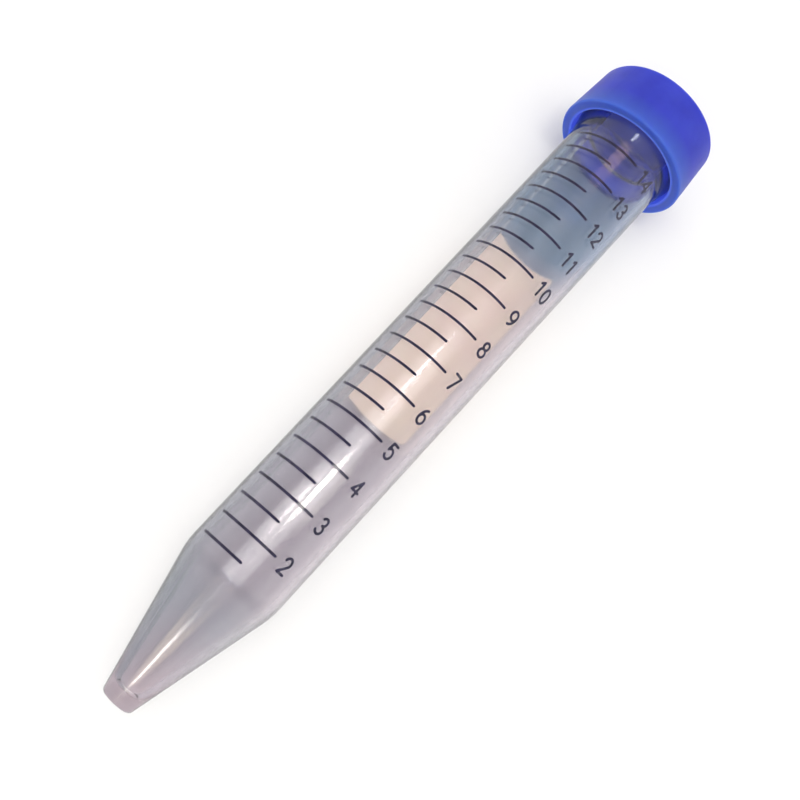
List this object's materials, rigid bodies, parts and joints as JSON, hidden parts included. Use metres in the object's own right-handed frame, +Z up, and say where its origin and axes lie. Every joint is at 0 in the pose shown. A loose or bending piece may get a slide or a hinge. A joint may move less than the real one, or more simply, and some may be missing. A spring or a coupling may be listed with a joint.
{
  "type": "conical centrifuge tube",
  "caption": "Capped 15 ml conical centrifuge tube with printed graduations and a screw cap, lying on its side.",
  "frame": {"origin": "on the bench, under the middle of the closed tube's bounding box", "axes": "+Z up from the bench; +X level, along the tube from its tip to its cap, whose axis rises 2.24 degrees towards the cap; the graduations face up"},
  "size_m": [0.1206, 0.0228, 0.0227],
  "materials": {
    "clear_polypropylene": "clear, slightly hazy, glossy moulded polypropylene",
    "elastomer": "matt blue elastomer sheet",
    "blue_polyethylene": "smooth satin blue moulded polyethylene",
    "black_ink": "satin black printed ink",
    "white_ink": "matt cream-white printed writing patch"
  },
  "bodies": {
    "tube": {"tube": "clear_polypropylene"},
    "sealing_disc": {"sealing_disc": "elastomer"},
    "cap": {"cap": "blue_polyethylene"}
  },
  "joints": [
    {"name": "cap_rise", "type": "slide", "parent": "tube", "child": "sealing_disc", "axis": [0.9992, 0, 0.039], "range_m": [0, 0.00822]},
    {"name": "cap_turn", "type": "hinge", "parent": "sealing_disc", "child": "cap", "pos_m": [0.05991, 0, 0.01172], "axis": [0.9992, 0, 0.039], "range_deg": [0, 1170]}
  ],
  "couplings": [
    {"joint": "cap_rise", "follows": "cap_turn", "m_per_rad": 0.00039789}
  ]
}
